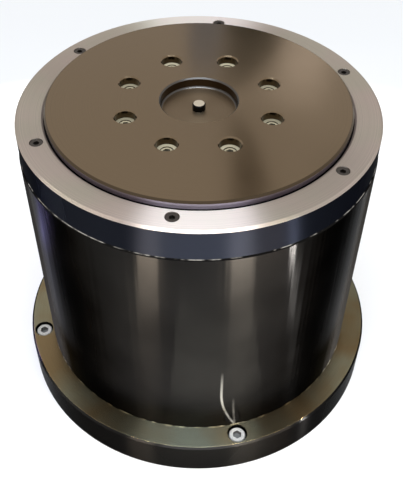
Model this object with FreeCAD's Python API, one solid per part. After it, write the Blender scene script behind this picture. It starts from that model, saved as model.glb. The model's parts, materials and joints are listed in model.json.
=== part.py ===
import FreeCAD, Part
import math
import os

# Direct drive rotary table: a slotted torque motor in a flanged tube, a crossed-roller bearing above it
# and a turned table that the rotor carries. Millimetres, Z up, origin on the base face at the table's axis.

# Overall sizes
OVERALL_HEIGHT = 160.0
BODY_DIAMETER = 166.0
FLANGE_LEDGE = 12.0
FLANGE_THICKNESS = 20.0
RING_HEIGHT = 15.0
RING_STEP = 0.5
TABLE_PROUD = 3.0
TABLE_GAP = 0.5

# Broken edges
FLANGE_BREAK = 1.0
FOOT_BREAK = 0.5
TUBE_BREAK = 0.8
RING_BREAK = 1.0
RING_BORE_BREAK = 0.8
TABLE_BREAK = 0.8
HOLE_BREAK = 0.6
PILOT_BREAK = 0.6

# Base flange and bottom cover
BASE_HOLE_COUNT = 4
BASE_HOLE_ANGLE = 45.0
BASE_HOLE_INSET = 6.5
BASE_HOLE_DIAMETER = 5.5
BASE_COUNTERBORE = 10.0
BASE_COUNTERBORE_DEPTH = 6.0
SPIGOT_HEIGHT = 7.0
SPIGOT_WALL = 13.0
SEAL_GROOVE_WIDTH = 2.4
SEAL_GROOVE_DEPTH = 1.5
SEAL_GROOVE_LIFT = 2.0
SEAL_CORNER_SHARE = 0.25
COVER_LAND = 8.0
COVER_INSET = 1.0
COVER_THICKNESS = 3.2
COVER_RIB_DROP = 2.0
COVER_RIB_WIDTH = 3.0
GASKET_THICKNESS = 0.8
COVER_SCREW_COUNT = 6
COVER_SCREW_DEPTH = 7.0

# Housing tube
STATOR_WALL = 10.0
BEARING_WALL = 13.0
SHOULDER_THICKNESS = 8.0
SHOULDER_STEP = 6.0
TUBE_SCREW_COUNT = 8
TUBE_SCREW_ANGLE = 22.5
TUBE_SCREW_DEPTH = 10.0
TUBE_HEAD_DROP = 1.0

# Top ring, its screws and the wiper seal
RING_LIP_THICKNESS = 4.5
RING_SCREW_COUNT = 6
RING_SCREW_ANGLE = 54.0
RING_SCREW_INSET = 7.5
RING_SCREW_DEPTH = 8.0
RING_HEAD_DROP = 0.3
RING_GROOVE_INSET = 0.8
RING_GROOVE_WIDTH = 1.6
RING_GROOVE_DEPTH = 1.1
WIPER_BODY = 4.0
WIPER_FLOOR_GAP = 0.4
WIPER_TOP_GAP = 0.6
WIPER_LIP = 0.6
WIPER_GAP = 0.15

# Crossed-roller bearing
BEARING_HEIGHT = 16.0
BEARING_SECTION = 20.0
RACE_GAP = 1.6
ROLLER_DIAMETER = 8.0
ROLLER_END_GAP = 0.2
ROLLER_SPACE = 2.0
ROLLER_RUNNING_GAP = 0.03
ROLLER_TILT = 45.0
CAGE_THICKNESS = 0.8
CAGE_END_GAP = 0.5
CAGE_WINDOW_GAP = 0.1

# Torque motor
STATOR_DEPTH = 20.0
STATOR_BACK_IRON = 6.0
STATOR_FIT = 0.02
SLOT_COUNT = 24
SLOT_MOUTH = 2.4
TOOTH_WIDTH = 7.0
SHOE_THICKNESS = 2.0
STATOR_TOP_ROOM = 8.0
STATOR_LOWER_ROOM = 30.0
COIL_INSULATION = 0.25
COIL_SLOT_GAP = 1.0
COIL_NEIGHBOUR_GAP = 0.8
AIR_GAP = 1.0
POLE_COUNT = 28
MAGNET_THICKNESS = 4.0
MAGNET_SHARE = 0.86
YOKE_THICKNESS = 6.0
YOKE_OVERHANG = 2.0

# Rotor hub
HUB_WALL = 8.0
HUB_STOP_STEP = 4.0
HUB_COLLAR_STEP = 5.0
HUB_LENGTH_BELOW_YOKE = 14.0
HUB_WEB_THICKNESS = 13.5
HUB_EYE_DIAMETER = 28.0
HUB_CLAMP_GAP = 0.1
HUB_SCREW_COUNT = 8
HUB_SCREW_ANGLE = 31.5
HUB_SCREW_DEPTH = 9.0

# Turntable
TABLE_RIM_GAP = 1.0
TABLE_BOSS_STEP = 6.0
EYE_SPIGOT_LENGTH = 8.0
EYE_FIT = 0.02
PILOT_DIAMETER = 35.0
PILOT_DEPTH = 5.0
PILOT_CORNER = 1.0
TABLE_HOLE_COUNT = 8
TABLE_HOLE_ANGLE = 9.0
TABLE_HOLE_CIRCLE = 70.0
TABLE_HOLE_MOUTH = 9.5
TABLE_HOLE_MOUTH_DEPTH = 4.0
TABLE_HOLE_THREAD = 6.0
TABLE_HOLE_THREAD_DEPTH = 10.0
CENTRE_PIN_DIAMETER = 6.0
CENTRE_PIN_STAND = 3.0
CENTRE_PIN_BREAK = 0.5
CENTRE_PIN_SHANK = 4.0
CENTRE_PIN_SEAT = 8.0

# Encoder
SCALE_THICKNESS = 6.0
SCALE_WALL = 12.0
SCALE_SCREW_COUNT = 6
SCALE_SCREW_DEPTH = 6.0
SCALE_HEAD_DROP = 0.4
ENCODER_ANGLE = 90.0
ENCODER_GAP = 0.8
HEAD_LENGTH = 11.0
HEAD_WIDTH = 18.0
HEAD_HEIGHT = 8.0
HEAD_WINDOW = 6.0
HEAD_WINDOW_DEPTH = 0.6
HEAD_SCREW_SPACING = 11.0
BRACKET_THICKNESS = 2.5
BRACKET_WIDTH = 22.0
BRACKET_SCREW_SPACING = 14.0
BRACKET_EDGE = 3.0
BRACKET_SCREW_DEPTH = 7.0

# Winding board
BOARD_THICKNESS = 1.6
BOARD_BELOW_STACK = 6.4
BOARD_WIDTH = 13.0
BOARD_EDGE_GAP = 2.0
PILLAR_COUNT = 4
PILLAR_ANGLE = 45.0
PILLAR_DIAMETER = 6.0

# Connectors at the back
PAD_DEPTH = 4.0
PAD_MARGIN = 2.0
CONNECTOR_HEIGHT = 40.0
CONNECTOR_SPACING = 28.0
CONNECTOR_FLANGE = 22.0
CONNECTOR_FLANGE_CORNER = 2.5
CONNECTOR_FLANGE_THICKNESS = 3.0
CONNECTOR_LENGTH = 15.0
CONNECTOR_DIAMETER = 17.0
CONNECTOR_WALL = 1.5
CONNECTOR_GROOVE_WIDTH = 1.2
CONNECTOR_GROOVE_DEPTH = 0.7
CONNECTOR_GROOVE_COUNT = 3
CONNECTOR_SCREW_SPACING = 16.6
CONNECTOR_SCREW_DEPTH = 5.0
CONNECTOR_GASKET = 0.8
CONNECTOR_FACE_DROP = 1.0
PIN_STAND = 0.8
WIRE_HOLE_DIAMETER = 12.0
POWER_PIN_COUNT = 6
POWER_PIN_DIAMETER = 2.0
FEEDBACK_PIN_COUNT = 12
FEEDBACK_PIN_DIAMETER = 1.0
PIN_CIRCLE = 9.0

# Screw sizes and the fits they share
SMALL_SCREW = 3.0
TUBE_SCREW = 4.0
HUB_SCREW = 6.0
SCREW_CLEARANCE = 0.5
THREAD_GAP = 0.05
HEAD_CLEARANCE = 0.5
HEAD_FACTOR = 1.5
HEAD_ALLOWANCE = 1.0
SOCKET_FACTOR = 0.8
SOCKET_DEPTH_FACTOR = 0.55
DRILL_ALLOWANCE = 1.5
COVER_FIT = 0.2
FULL_TURN = 360.0
RIGHT_ANGLE = 90.0
THIRD_TURN = 120.0
HALF = 0.5
HEX_SIDES = 6
RECTANGLE_SIDES = 4

# Heights that follow from the sizes above
Z_RING_TOP = OVERALL_HEIGHT - TABLE_PROUD
Z_RING_BOTTOM = Z_RING_TOP - RING_HEIGHT
Z_BEARING_BOTTOM = Z_RING_BOTTOM - BEARING_HEIGHT
Z_BEARING_MIDDLE = (Z_RING_BOTTOM + Z_BEARING_BOTTOM) * HALF
Z_SHOULDER_BOTTOM = Z_BEARING_BOTTOM - SHOULDER_THICKNESS
Z_STACK_TOP = Z_SHOULDER_BOTTOM - STATOR_TOP_ROOM
Z_STACK_BOTTOM = FLANGE_THICKNESS + STATOR_LOWER_ROOM
Z_STACK_MIDDLE = (Z_STACK_TOP + Z_STACK_BOTTOM) * HALF
STACK_LENGTH = Z_STACK_TOP - Z_STACK_BOTTOM
Z_YOKE_TOP = Z_STACK_TOP + YOKE_OVERHANG
Z_YOKE_BOTTOM = Z_STACK_BOTTOM - YOKE_OVERHANG
Z_HUB_BOTTOM = Z_YOKE_BOTTOM - HUB_LENGTH_BELOW_YOKE
Z_HUB_TOP = Z_RING_BOTTOM - HUB_CLAMP_GAP
Z_HUB_WEB = Z_HUB_TOP - HUB_WEB_THICKNESS
Z_SPIGOT_TOP = FLANGE_THICKNESS + SPIGOT_HEIGHT
Z_BRACKET_TOP = Z_SPIGOT_TOP + BRACKET_THICKNESS
Z_BOARD_TOP = Z_STACK_BOTTOM - BOARD_BELOW_STACK
Z_BOARD_BOTTOM = Z_BOARD_TOP - BOARD_THICKNESS
Z_COVER_TOP = COVER_INSET + COVER_THICKNESS
Z_COVER_SEAT = Z_COVER_TOP + GASKET_THICKNESS
Z_LIP_TOP = Z_RING_BOTTOM + RING_LIP_THICKNESS
Z_RIM_BOTTOM = Z_LIP_TOP + TABLE_RIM_GAP
Z_PILOT_FLOOR = OVERALL_HEIGHT - PILOT_DEPTH
Z_TABLE_HOLE_FLOOR = OVERALL_HEIGHT - TABLE_HOLE_MOUTH_DEPTH
Z_SCALE_BOTTOM = Z_HUB_BOTTOM - SCALE_THICKNESS
Z_SCALE_SEAT = Z_SCALE_BOTTOM + SMALL_SCREW + SCALE_HEAD_DROP
Z_RING_SEAT = Z_RING_TOP - SMALL_SCREW - RING_HEAD_DROP
Z_TUBE_SEAT = TUBE_SCREW + TUBE_HEAD_DROP

# Radii that follow from the sizes above
R_BODY = BODY_DIAMETER * HALF
R_FLANGE = R_BODY + FLANGE_LEDGE
R_BASE_HOLES = R_FLANGE - BASE_HOLE_INSET
R_RING = R_BODY - RING_STEP
R_RING_SCREWS = R_RING - RING_SCREW_INSET
R_STATOR_BORE = R_BODY - STATOR_WALL
R_TUBE_SCREWS = R_BODY - STATOR_WALL * HALF
R_SPIGOT = R_STATOR_BORE - STATOR_FIT
R_FLANGE_BORE = R_SPIGOT - SPIGOT_WALL
R_COVER_RECESS = R_FLANGE_BORE + COVER_LAND
R_COVER = R_COVER_RECESS - COVER_FIT
R_COVER_SCREWS = (R_FLANGE_BORE + R_COVER_RECESS) * HALF
R_BEARING_SEAT = R_BODY - BEARING_WALL
R_SHOULDER = R_BEARING_SEAT - SHOULDER_STEP
R_BEARING_BORE = R_BEARING_SEAT - BEARING_SECTION
R_ROLLERS = (R_BEARING_SEAT + R_BEARING_BORE) * HALF
ROLLER_PAIRS = int(math.pi * R_ROLLERS / (ROLLER_DIAMETER + ROLLER_SPACE))
R_OUTER_RACE = R_ROLLERS + RACE_GAP * HALF
R_INNER_RACE = R_ROLLERS - RACE_GAP * HALF
R_TABLE = R_BEARING_SEAT - TABLE_GAP
R_BOSS = R_BEARING_BORE + TABLE_BOSS_STEP
R_HUB_COLLAR = R_BEARING_BORE + HUB_COLLAR_STEP
R_STATOR = R_STATOR_BORE - STATOR_FIT
R_STATOR_FACE = R_STATOR - STATOR_DEPTH
R_SLOT_FLOOR = R_STATOR - STATOR_BACK_IRON
R_SHOE_BACK = R_STATOR_FACE + SHOE_THICKNESS
R_COIL_FACE = R_SHOE_BACK + COIL_SLOT_GAP
COIL_ROOM = R_COIL_FACE * math.tan(math.pi / SLOT_COUNT) - TOOTH_WIDTH * HALF
COIL_THICKNESS = COIL_ROOM - COIL_INSULATION - COIL_NEIGHBOUR_GAP * HALF
R_MAGNETS = R_STATOR_FACE - AIR_GAP
R_YOKE = R_MAGNETS - MAGNET_THICKNESS
R_HUB = R_YOKE - YOKE_THICKNESS
R_HUB_BORE = R_HUB - HUB_WALL
R_HUB_STOP = R_HUB + HUB_STOP_STEP
R_HUB_SCREWS = (HUB_EYE_DIAMETER * HALF + R_HUB_BORE) * HALF
R_SCALE = R_HUB_BORE + SCALE_WALL
R_SCALE_SCREWS = (R_HUB_BORE + R_HUB) * HALF
R_HEAD_FACE = R_SCALE + ENCODER_GAP
R_HEAD_MIDDLE = R_HEAD_FACE + HEAD_LENGTH * HALF
R_BOARD = R_STATOR_BORE - BOARD_EDGE_GAP
R_PILLARS = (R_FLANGE_BORE + R_SPIGOT) * HALF
Y_PAD = R_BODY - PAD_DEPTH

AXIS_X = FreeCAD.Vector(1, 0, 0)
AXIS_Y = FreeCAD.Vector(0, 1, 0)
AXIS_Z = FreeCAD.Vector(0, 0, 1)
DIAGONAL = FreeCAD.Vector(1, 1, 1)
ORIGIN = FreeCAD.Vector(0, 0, 0)


# Shared ways of making a form

def turned(outline, sweep=FULL_TURN):
    """Solid of revolution about Z from the (radius, height) corners of half its section."""
    corners = [FreeCAD.Vector(radius, 0, height) for radius, height in outline]
    section = Part.Face(Part.makePolygon(corners + corners[:1]))
    return section.revolve(ORIGIN, AXIS_Z, sweep)


def tube(inner, outer, low, high, sweep=FULL_TURN):
    """Plain ring about Z, or a part of one, between two radii and two heights."""
    return turned([(inner, low), (outer, low), (outer, high), (inner, high)], sweep)


def rod(radius, low, high, out=0.0):
    """Upright cylinder whose axis stands a distance out along X."""
    return Part.makeCylinder(radius, high - low, FreeCAD.Vector(out, 0, low))


def block(x_low, x_high, width, low, high):
    """Box centred on the X axis in width."""
    corner = FreeCAD.Vector(x_low, -width * HALF, low)
    return Part.makeBox(x_high - x_low, width, high - low, corner)


def broken_rim(radius, size, top, out=0.0):
    """Cone that breaks the upper edge of a hole."""
    return Part.makeCone(radius, radius + size, size, FreeCAD.Vector(out, 0, top - size))


def rounded_foot(solid, radius):
    """A solid with the edges of its lowest face rounded."""
    level = solid.BoundBox.ZMin + radius * HALF
    return solid.makeFillet(radius, [edge for edge in solid.Edges if edge.BoundBox.ZMax < level])


def around(shape, count, first=0.0):
    """Copies of a shape spaced evenly about Z, the first one turned by an angle."""
    copies = []
    for step in range(count):
        copy = shape.copy()
        copy.rotate(ORIGIN, AXIS_Z, first + step * FULL_TURN / count)
        copies.append(copy)
    return copies


def group(solids):
    """Separate solids kept together as one piece."""
    return Part.makeCompound(solids)


def plate_outline(width, height, corner):
    """Closed rectangular wire with round corners, centred on the origin in XY."""
    half_x = width * HALF
    half_y = height * HALF
    in_x = half_x - corner
    in_y = half_y - corner
    turn = corner * math.sqrt(HALF)
    edges = []
    for side in range(RECTANGLE_SIDES):
        angle = side * RIGHT_ANGLE
        far, near, reach = (in_x, in_y, half_x) if side % 2 == 0 else (in_y, in_x, half_y)
        points = [(reach, -near), (reach, near), (far + turn, near + turn), (far, near + corner)]
        spun = [FreeCAD.Rotation(AXIS_Z, angle).multVec(FreeCAD.Vector(x, y, 0)) for x, y in points]
        edges.append(Part.makeLine(spun[0], spun[1]))
        edges.append(Part.Arc(spun[1], spun[2], spun[3]).toShape())
    return Part.Wire(edges)


def hexagon(across, low, high):
    """Upright hexagonal prism by its width across flats."""
    radius = across / math.sqrt(3)
    corners = []
    for step in range(HEX_SIDES + 1):
        angle = math.radians(step * FULL_TURN / HEX_SIDES)
        corners.append(FreeCAD.Vector(radius * math.cos(angle), radius * math.sin(angle), low))
    return Part.Face(Part.makePolygon(corners)).extrude(AXIS_Z * (high - low))


def head_diameter(size):
    """Head diameter of a socket cap screw."""
    return size * HEAD_FACTOR + HEAD_ALLOWANCE


def cap_screw(size, length):
    """Socket cap screw pointing down, its head standing on the plane z = 0."""
    screw = rod(head_diameter(size) * HALF, 0, size).fuse(rod(size * HALF, -length, 0))
    socket = hexagon(size * SOCKET_FACTOR, size - size * SOCKET_DEPTH_FACTOR, size)
    return screw.removeSplitter().cut(socket)


def screw_down(size, length, out, seat):
    """Cap screw pointing down at a distance out along X, seated at a height."""
    screw = cap_screw(size, length)
    screw.translate(FreeCAD.Vector(out, 0, seat))
    return screw


def screw_up(size, length, out, seat):
    """Cap screw pointing up at a distance out along X, its head below the seat."""
    screw = cap_screw(size, length)
    screw.rotate(ORIGIN, AXIS_X, FULL_TURN * HALF)
    screw.translate(FreeCAD.Vector(out, 0, seat))
    return screw


def clearance_radius(size):
    """Radius of a hole that a screw passes through."""
    return (size + SCREW_CLEARANCE) * HALF


def thread_radius(size):
    """Radius of the hole that holds a screw's thread."""
    return size * HALF + THREAD_GAP


def counterbore_radius(size):
    """Radius of the recess round a screw head."""
    return (head_diameter(size) + HEAD_CLEARANCE) * HALF


def at_encoder(shape):
    """A shape made along X, turned to where the read head stands."""
    turned_shape = shape.copy()
    turned_shape.rotate(ORIGIN, AXIS_Z, ENCODER_ANGLE)
    return turned_shape


def at_connectors(shape, sides=(-1, 1)):
    """Copies of a shape made along Z, turned to point out of the pad at each connector's place."""
    copies = []
    for side in sides:
        copy = shape.copy()
        copy.rotate(ORIGIN, AXIS_X, -RIGHT_ANGLE)
        copy.translate(FreeCAD.Vector(side * CONNECTOR_SPACING * HALF, Y_PAD, CONNECTOR_HEIGHT))
        copies.append(copy)
    return copies


# Housing

def base_flange():
    top = FLANGE_THICKNESS
    groove_low = top + SEAL_GROOVE_LIFT
    groove_high = groove_low + SEAL_GROOVE_WIDTH
    groove_floor = R_SPIGOT - SEAL_GROOVE_DEPTH
    flange = turned([
        (R_COVER_RECESS, 0), (R_FLANGE - FOOT_BREAK, 0), (R_FLANGE, FOOT_BREAK),
        (R_FLANGE, top - FLANGE_BREAK), (R_FLANGE - FLANGE_BREAK, top), (R_SPIGOT, top),
        (R_SPIGOT, groove_low), (groove_floor, groove_low), (groove_floor, groove_high),
        (R_SPIGOT, groove_high), (R_SPIGOT, Z_SPIGOT_TOP), (R_FLANGE_BORE, Z_SPIGOT_TOP),
        (R_FLANGE_BORE, Z_COVER_SEAT), (R_COVER_RECESS, Z_COVER_SEAT)])
    through = rod(BASE_HOLE_DIAMETER * HALF, 0, top, R_BASE_HOLES)
    recess = rod(BASE_COUNTERBORE * HALF, top - BASE_COUNTERBORE_DEPTH, top, R_BASE_HOLES)
    cuts = around(through.fuse(recess), BASE_HOLE_COUNT, BASE_HOLE_ANGLE)
    through = rod(clearance_radius(TUBE_SCREW), 0, top, R_TUBE_SCREWS)
    recess = rod(counterbore_radius(TUBE_SCREW), 0, Z_TUBE_SEAT, R_TUBE_SCREWS)
    cuts += around(through.fuse(recess), TUBE_SCREW_COUNT, TUBE_SCREW_ANGLE)
    cover_thread_end = Z_COVER_SEAT + COVER_SCREW_DEPTH + DRILL_ALLOWANCE
    cover_thread = rod(thread_radius(SMALL_SCREW), Z_COVER_SEAT, cover_thread_end, R_COVER_SCREWS)
    cuts += around(cover_thread, COVER_SCREW_COUNT)
    spigot_thread_end = Z_SPIGOT_TOP - BRACKET_SCREW_DEPTH - DRILL_ALLOWANCE
    spigot_thread = rod(thread_radius(SMALL_SCREW), spigot_thread_end, Z_SPIGOT_TOP, R_PILLARS)
    cuts += around(spigot_thread, PILLAR_COUNT, PILLAR_ANGLE)
    for side in (-HALF, HALF):
        bracket_thread = spigot_thread.copy()
        bracket_thread.translate(AXIS_Y * side * BRACKET_SCREW_SPACING)
        cuts.append(at_encoder(bracket_thread))
    return flange.cut(group(cuts))


def base_seal():
    low = FLANGE_THICKNESS + SEAL_GROOVE_LIFT
    middle = low + SEAL_GROOVE_WIDTH * HALF
    return seal_ring(R_SPIGOT - SEAL_GROOVE_DEPTH, R_STATOR_BORE, middle)


def seal_ring(inner, outer, middle):
    """Sealing ring pressed between two walls: flat where it touches them, with its free corners cut off."""
    corner = (outer - inner) * SEAL_CORNER_SHARE
    low = middle - (outer - inner) * HALF
    high = middle + (outer - inner) * HALF
    return turned([
        (inner, low + corner), (inner + corner, low), (outer - corner, low), (outer, low + corner),
        (outer, high - corner), (outer - corner, high), (inner + corner, high), (inner, high - corner)])


def tube_screws():
    length = FLANGE_THICKNESS - Z_TUBE_SEAT + TUBE_SCREW_DEPTH
    screw = screw_up(TUBE_SCREW, length, R_TUBE_SCREWS, Z_TUBE_SEAT)
    return group(around(screw, TUBE_SCREW_COUNT, TUBE_SCREW_ANGLE))


def housing_tube():
    low = FLANGE_THICKNESS
    high = Z_RING_BOTTOM
    wall = turned([
        (R_STATOR_BORE, low), (R_BODY, low), (R_BODY, high - TUBE_BREAK), (R_BODY - TUBE_BREAK, high),
        (R_BEARING_SEAT, high), (R_BEARING_SEAT, Z_BEARING_BOTTOM), (R_SHOULDER, Z_BEARING_BOTTOM),
        (R_SHOULDER, Z_SHOULDER_BOTTOM), (R_STATOR_BORE, Z_SHOULDER_BOTTOM)])
    reach = TUBE_SCREW_DEPTH + DRILL_ALLOWANCE
    tube_thread = rod(thread_radius(TUBE_SCREW), low, low + reach, R_TUBE_SCREWS)
    cuts = around(tube_thread, TUBE_SCREW_COUNT, TUBE_SCREW_ANGLE)
    reach = RING_SCREW_DEPTH + DRILL_ALLOWANCE
    ring_thread = rod(thread_radius(SMALL_SCREW), high - reach, high, R_RING_SCREWS)
    cuts += around(ring_thread, RING_SCREW_COUNT, RING_SCREW_ANGLE)
    pad_width = CONNECTOR_SPACING + CONNECTOR_FLANGE + 2 * PAD_MARGIN
    pad_height = CONNECTOR_FLANGE + 2 * PAD_MARGIN
    pad = Part.Face(plate_outline(pad_width, pad_height, CONNECTOR_FLANGE_CORNER)).extrude(AXIS_Z * R_BODY)
    pad.rotate(ORIGIN, AXIS_X, -RIGHT_ANGLE)
    pad.translate(FreeCAD.Vector(0, Y_PAD, CONNECTOR_HEIGHT))
    cuts.append(pad)
    cuts += at_connectors(rod(WIRE_HOLE_DIAMETER * HALF, -R_BODY * HALF, 0))
    reach = CONNECTOR_SCREW_DEPTH + DRILL_ALLOWANCE * HALF
    cuts += at_connectors(connector_screw_pattern(rod(thread_radius(SMALL_SCREW), -reach, 0)))
    return wall.cut(group(cuts))


def top_ring():
    low = Z_RING_BOTTOM
    high = Z_RING_TOP
    bore = R_TABLE + TABLE_GAP
    groove_inner = R_BEARING_SEAT + RING_GROOVE_INSET
    groove_outer = groove_inner + RING_GROOVE_WIDTH
    groove_high = low + RING_GROOVE_DEPTH
    ring = turned([
        (R_SHOULDER, low), (groove_inner, low), (groove_inner, groove_high), (groove_outer, groove_high),
        (groove_outer, low), (R_RING, low), (R_RING, high - RING_BREAK), (R_RING - RING_BREAK, high),
        (bore + RING_BORE_BREAK, high), (bore, high - RING_BORE_BREAK), (bore, Z_LIP_TOP),
        (R_SHOULDER, Z_LIP_TOP)])
    through = rod(clearance_radius(SMALL_SCREW), low, high, R_RING_SCREWS)
    recess = rod(counterbore_radius(SMALL_SCREW), Z_RING_SEAT, high, R_RING_SCREWS)
    return ring.cut(group(around(through.fuse(recess), RING_SCREW_COUNT, RING_SCREW_ANGLE)))


def ring_seal():
    inner = R_BEARING_SEAT + RING_GROOVE_INSET + COVER_FIT
    outer = inner + RING_GROOVE_WIDTH - 2 * COVER_FIT
    return tube(inner, outer, Z_RING_BOTTOM, Z_RING_BOTTOM + RING_GROOVE_DEPTH)


def ring_screws():
    length = Z_RING_SEAT - Z_RING_BOTTOM + RING_SCREW_DEPTH
    screw = screw_down(SMALL_SCREW, length, R_RING_SCREWS, Z_RING_SEAT)
    return group(around(screw, RING_SCREW_COUNT, RING_SCREW_ANGLE))


def wiper_seal():
    low = Z_RING_BOTTOM + WIPER_FLOOR_GAP
    high = Z_LIP_TOP - WIPER_TOP_GAP
    edge = R_BOSS + WIPER_GAP
    back = R_SHOULDER - WIPER_BODY
    return turned([
        (back, low), (R_SHOULDER, low), (R_SHOULDER, high), (back, high), (edge, high),
        (edge, high - WIPER_LIP)])


def bottom_cover():
    rib_outer = R_FLANGE_BORE - COVER_FIT
    rib_inner = rib_outer - COVER_RIB_WIDTH
    rib_top = Z_COVER_SEAT + COVER_RIB_DROP
    cover = turned([
        (0, COVER_INSET), (R_COVER, COVER_INSET), (R_COVER, Z_COVER_TOP), (rib_outer, Z_COVER_TOP),
        (rib_outer, rib_top), (rib_inner, rib_top), (rib_inner, Z_COVER_TOP), (0, Z_COVER_TOP)])
    hole = rod(clearance_radius(SMALL_SCREW), COVER_INSET, Z_COVER_TOP, R_COVER_SCREWS)
    sink = Part.makeCone(head_diameter(SMALL_SCREW) * HALF, clearance_radius(SMALL_SCREW),
                         head_diameter(SMALL_SCREW) * HALF - clearance_radius(SMALL_SCREW),
                         FreeCAD.Vector(R_COVER_SCREWS, 0, COVER_INSET))
    return cover.cut(group(around(hole.fuse(sink), COVER_SCREW_COUNT)))


def cover_gasket():
    gasket = tube(R_FLANGE_BORE, R_COVER, Z_COVER_TOP, Z_COVER_SEAT)
    hole = rod(clearance_radius(SMALL_SCREW), Z_COVER_TOP, Z_COVER_SEAT, R_COVER_SCREWS)
    return gasket.cut(group(around(hole, COVER_SCREW_COUNT)))


def cover_screws():
    head = head_diameter(SMALL_SCREW) * HALF
    shank = SMALL_SCREW * HALF
    drop = clearance_radius(SMALL_SCREW) - shank
    cone = head - shank - drop
    tip = Z_COVER_SEAT + COVER_SCREW_DEPTH
    neck = COVER_INSET + cone
    screw = turned([
        (0, COVER_INSET), (head, COVER_INSET), (shank + drop, neck), (shank, neck), (shank, tip), (0, tip)])
    socket = hexagon(SMALL_SCREW * SOCKET_FACTOR, COVER_INSET, neck)
    screw = screw.cut(socket)
    screw.translate(FreeCAD.Vector(R_COVER_SCREWS, 0, 0))
    return group(around(screw, COVER_SCREW_COUNT))


# Crossed-roller bearing: rollers lie alternately one way and the other in a square track

def race_half_diagonal():
    """From the track's centre to the root of either vee."""
    return (ROLLER_DIAMETER * HALF + ROLLER_RUNNING_GAP) * math.sqrt(2)


def outer_race(low, high, flat_is_low):
    """One half of the split outer race, with the split at the middle of the bearing."""
    root = R_ROLLERS + race_half_diagonal()
    mouth = race_half_diagonal() - RACE_GAP * HALF
    if flat_is_low:
        return turned([(R_OUTER_RACE, low), (R_BEARING_SEAT, low), (R_BEARING_SEAT, high), (root, high),
                       (R_OUTER_RACE, high - mouth)])
    return turned([(root, low), (R_BEARING_SEAT, low), (R_BEARING_SEAT, high), (R_OUTER_RACE, high),
                   (R_OUTER_RACE, low + mouth)])


def bearing_outer_race_lower():
    return outer_race(Z_BEARING_BOTTOM, Z_BEARING_MIDDLE, True)


def bearing_outer_race_upper():
    return outer_race(Z_BEARING_MIDDLE, Z_RING_BOTTOM, False)


def bearing_inner_race():
    root = R_ROLLERS - race_half_diagonal()
    mouth = race_half_diagonal() - RACE_GAP * HALF
    return turned([
        (R_BEARING_BORE, Z_BEARING_BOTTOM), (R_INNER_RACE, Z_BEARING_BOTTOM),
        (R_INNER_RACE, Z_BEARING_MIDDLE - mouth), (root, Z_BEARING_MIDDLE),
        (R_INNER_RACE, Z_BEARING_MIDDLE + mouth), (R_INNER_RACE, Z_RING_BOTTOM),
        (R_BEARING_BORE, Z_RING_BOTTOM)])


def tilted_roller(radius, length, way):
    """Cylinder centred in the track with its axis tilted up or down along the radius."""
    roller = Part.makeCylinder(radius, length, FreeCAD.Vector(0, 0, -length * HALF))
    roller.rotate(ORIGIN, AXIS_Y, way * ROLLER_TILT)
    roller.translate(FreeCAD.Vector(R_ROLLERS, 0, Z_BEARING_MIDDLE))
    return roller


def crossed(radius, length):
    """The whole set of cylinders, every second one crossed with its neighbours."""
    one_way = around(tilted_roller(radius, length, 1), ROLLER_PAIRS)
    other_way = around(tilted_roller(radius, length, -1), ROLLER_PAIRS, FULL_TURN * HALF / ROLLER_PAIRS)
    return one_way + other_way


def bearing_rollers():
    return group(crossed(ROLLER_DIAMETER * HALF, ROLLER_DIAMETER - 2 * ROLLER_END_GAP))


def roller_cage():
    band = tube(R_ROLLERS - CAGE_THICKNESS * HALF, R_ROLLERS + CAGE_THICKNESS * HALF,
                Z_BEARING_BOTTOM + CAGE_END_GAP, Z_RING_BOTTOM - CAGE_END_GAP)
    length = ROLLER_DIAMETER - 2 * ROLLER_END_GAP + 2 * CAGE_WINDOW_GAP
    return band.cut(group(crossed(ROLLER_DIAMETER * HALF + CAGE_WINDOW_GAP, length)))


# Torque motor

def stator_core():
    core = tube(R_STATOR_FACE, R_STATOR, Z_STACK_BOTTOM, Z_STACK_TOP)
    half_pitch = math.pi / SLOT_COUNT
    side = TOOTH_WIDTH * HALF

    def slot_edge(radius):
        """Distance from the slot's middle to the tooth flank at a radius along the slot."""
        return (radius * math.sin(half_pitch) - side) / math.cos(half_pitch)

    outline = [(R_SHOE_BACK, slot_edge(R_SHOE_BACK)), (R_SLOT_FLOOR, slot_edge(R_SLOT_FLOOR))]
    outline += [(x, -y) for x, y in reversed(outline)]
    corners = [FreeCAD.Vector(x, y, Z_STACK_BOTTOM) for x, y in outline]
    slot = Part.Face(Part.makePolygon(corners + corners[:1])).extrude(AXIS_Z * STACK_LENGTH)
    mouth = block(R_STATOR_FACE - AIR_GAP, R_SHOE_BACK, SLOT_MOUTH, Z_STACK_BOTTOM, Z_STACK_TOP)
    return core.cut(group(around(slot.fuse(mouth), SLOT_COUNT, FULL_TURN / SLOT_COUNT * HALF)))


def stator_coils():
    inner_width = TOOTH_WIDTH + 2 * COIL_INSULATION
    inner_height = STACK_LENGTH + 2 * COIL_INSULATION
    outer = Part.Face(plate_outline(inner_width + 2 * COIL_THICKNESS, inner_height + 2 * COIL_THICKNESS,
                                    COIL_THICKNESS))
    hole = Part.makePlane(inner_width, inner_height,
                          FreeCAD.Vector(-inner_width * HALF, -inner_height * HALF, 0))
    depth = R_SLOT_FLOOR - COIL_SLOT_GAP - R_COIL_FACE
    coil = outer.cut(hole).extrude(AXIS_Z * depth)
    coil.rotate(ORIGIN, DIAGONAL, THIRD_TURN)
    coil.translate(FreeCAD.Vector(R_COIL_FACE, 0, Z_STACK_MIDDLE))
    return group(around(coil, SLOT_COUNT))


def winding_board():
    return tube(R_BOARD - BOARD_WIDTH, R_BOARD, Z_BOARD_BOTTOM, Z_BOARD_TOP)


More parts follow.
